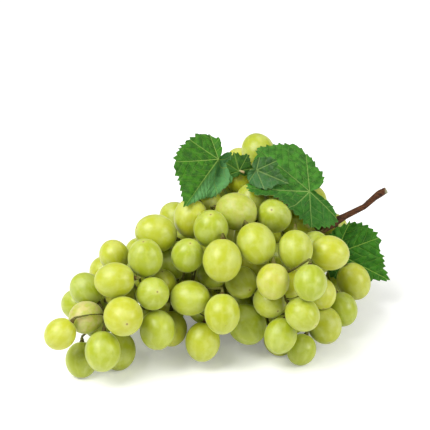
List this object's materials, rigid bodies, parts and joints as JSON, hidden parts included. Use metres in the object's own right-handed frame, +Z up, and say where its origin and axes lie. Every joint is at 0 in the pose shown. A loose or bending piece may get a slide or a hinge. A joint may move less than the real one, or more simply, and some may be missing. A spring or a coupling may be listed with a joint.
{
  "type": "bunch of grapes",
  "caption": "Bunch of pale green seedless-type table grapes lying on its side, with its brown cut stalk and the lobed vine leaves picked with it.",
  "frame": {"origin": "on the table, under the middle of the bunch's box", "axes": "+Z up from the table; +X along the bunch's length, from its pointed tip towards the cut end of the stalk; +Y from the side that shows most towards the back"},
  "size_m": [0.1984, 0.1582, 0.1044],
  "materials": {
    "grape_skin": "smooth, slightly waxy and translucent",
    "stalk_bark": "dry bark, green on the thin stems",
    "leaf_blade": "soft satin leaf with raised veins",
    "young_leaf": "soft, slightly downy young leaf"
  },
  "bodies": {
    "root": {"berries_back_1": "grape_skin", "berries_back_2": "grape_skin", "berries_back_3": "grape_skin", "berries_back_4": "grape_skin", "berries_back_5": "grape_skin", "berries_back_6": "grape_skin", "berries_back_7": "grape_skin", "berries_front_10": "grape_skin", "berries_front_11": "grape_skin", "berries_front_8": "grape_skin", "berries_front_9": "grape_skin", "berries_left_7": "grape_skin", "berries_left_8": "grape_skin", "berries_right_11": "grape_skin", "berries_right_12": "grape_skin", "berries_right_5": "grape_skin", "berries_right_8": "grape_skin", "berries_right_9": "grape_skin", "berries_tip_5": "grape_skin", "berries_tip_6": "grape_skin", "berries_top_7": "grape_skin", "berries_top_8": "grape_skin", "berries_top_9": "grape_skin", "berry_front_1": "grape_skin", "berry_front_12": "grape_skin", "berry_front_2": "grape_skin", "berry_front_3": "grape_skin", "berry_front_4": "grape_skin", "berry_front_5": "grape_skin", "berry_front_6": "grape_skin", "berry_front_7": "grape_skin", "berry_left_1": "grape_skin", "berry_left_2": "grape_skin", "berry_left_3": "grape_skin", "berry_left_4": "grape_skin", "berry_left_5": "grape_skin", "berry_left_6": "grape_skin", "berry_right_1": "grape_skin", "berry_right_10": "grape_skin", "berry_right_2": "grape_skin", "berry_right_3": "grape_skin", "berry_right_4": "grape_skin", "berry_right_6": "grape_skin", "berry_right_7": "grape_skin", "berry_tip_1": "grape_skin", "berry_tip_2": "grape_skin", "berry_tip_3": "grape_skin", "berry_tip_4": "grape_skin", "berry_top_1": "grape_skin", "berry_top_2": "grape_skin", "berry_top_3": "grape_skin", "berry_top_4": "grape_skin", "berry_top_5": "grape_skin", "berry_top_6": "grape_skin", "leaf_left": "leaf_blade", "leaf_low": "leaf_blade", "leaf_right": "leaf_blade", "leaf_young_dark": "young_leaf", "leaf_young_silver": "young_leaf", "stalk": "stalk_bark"}
  },
  "joints": []
}
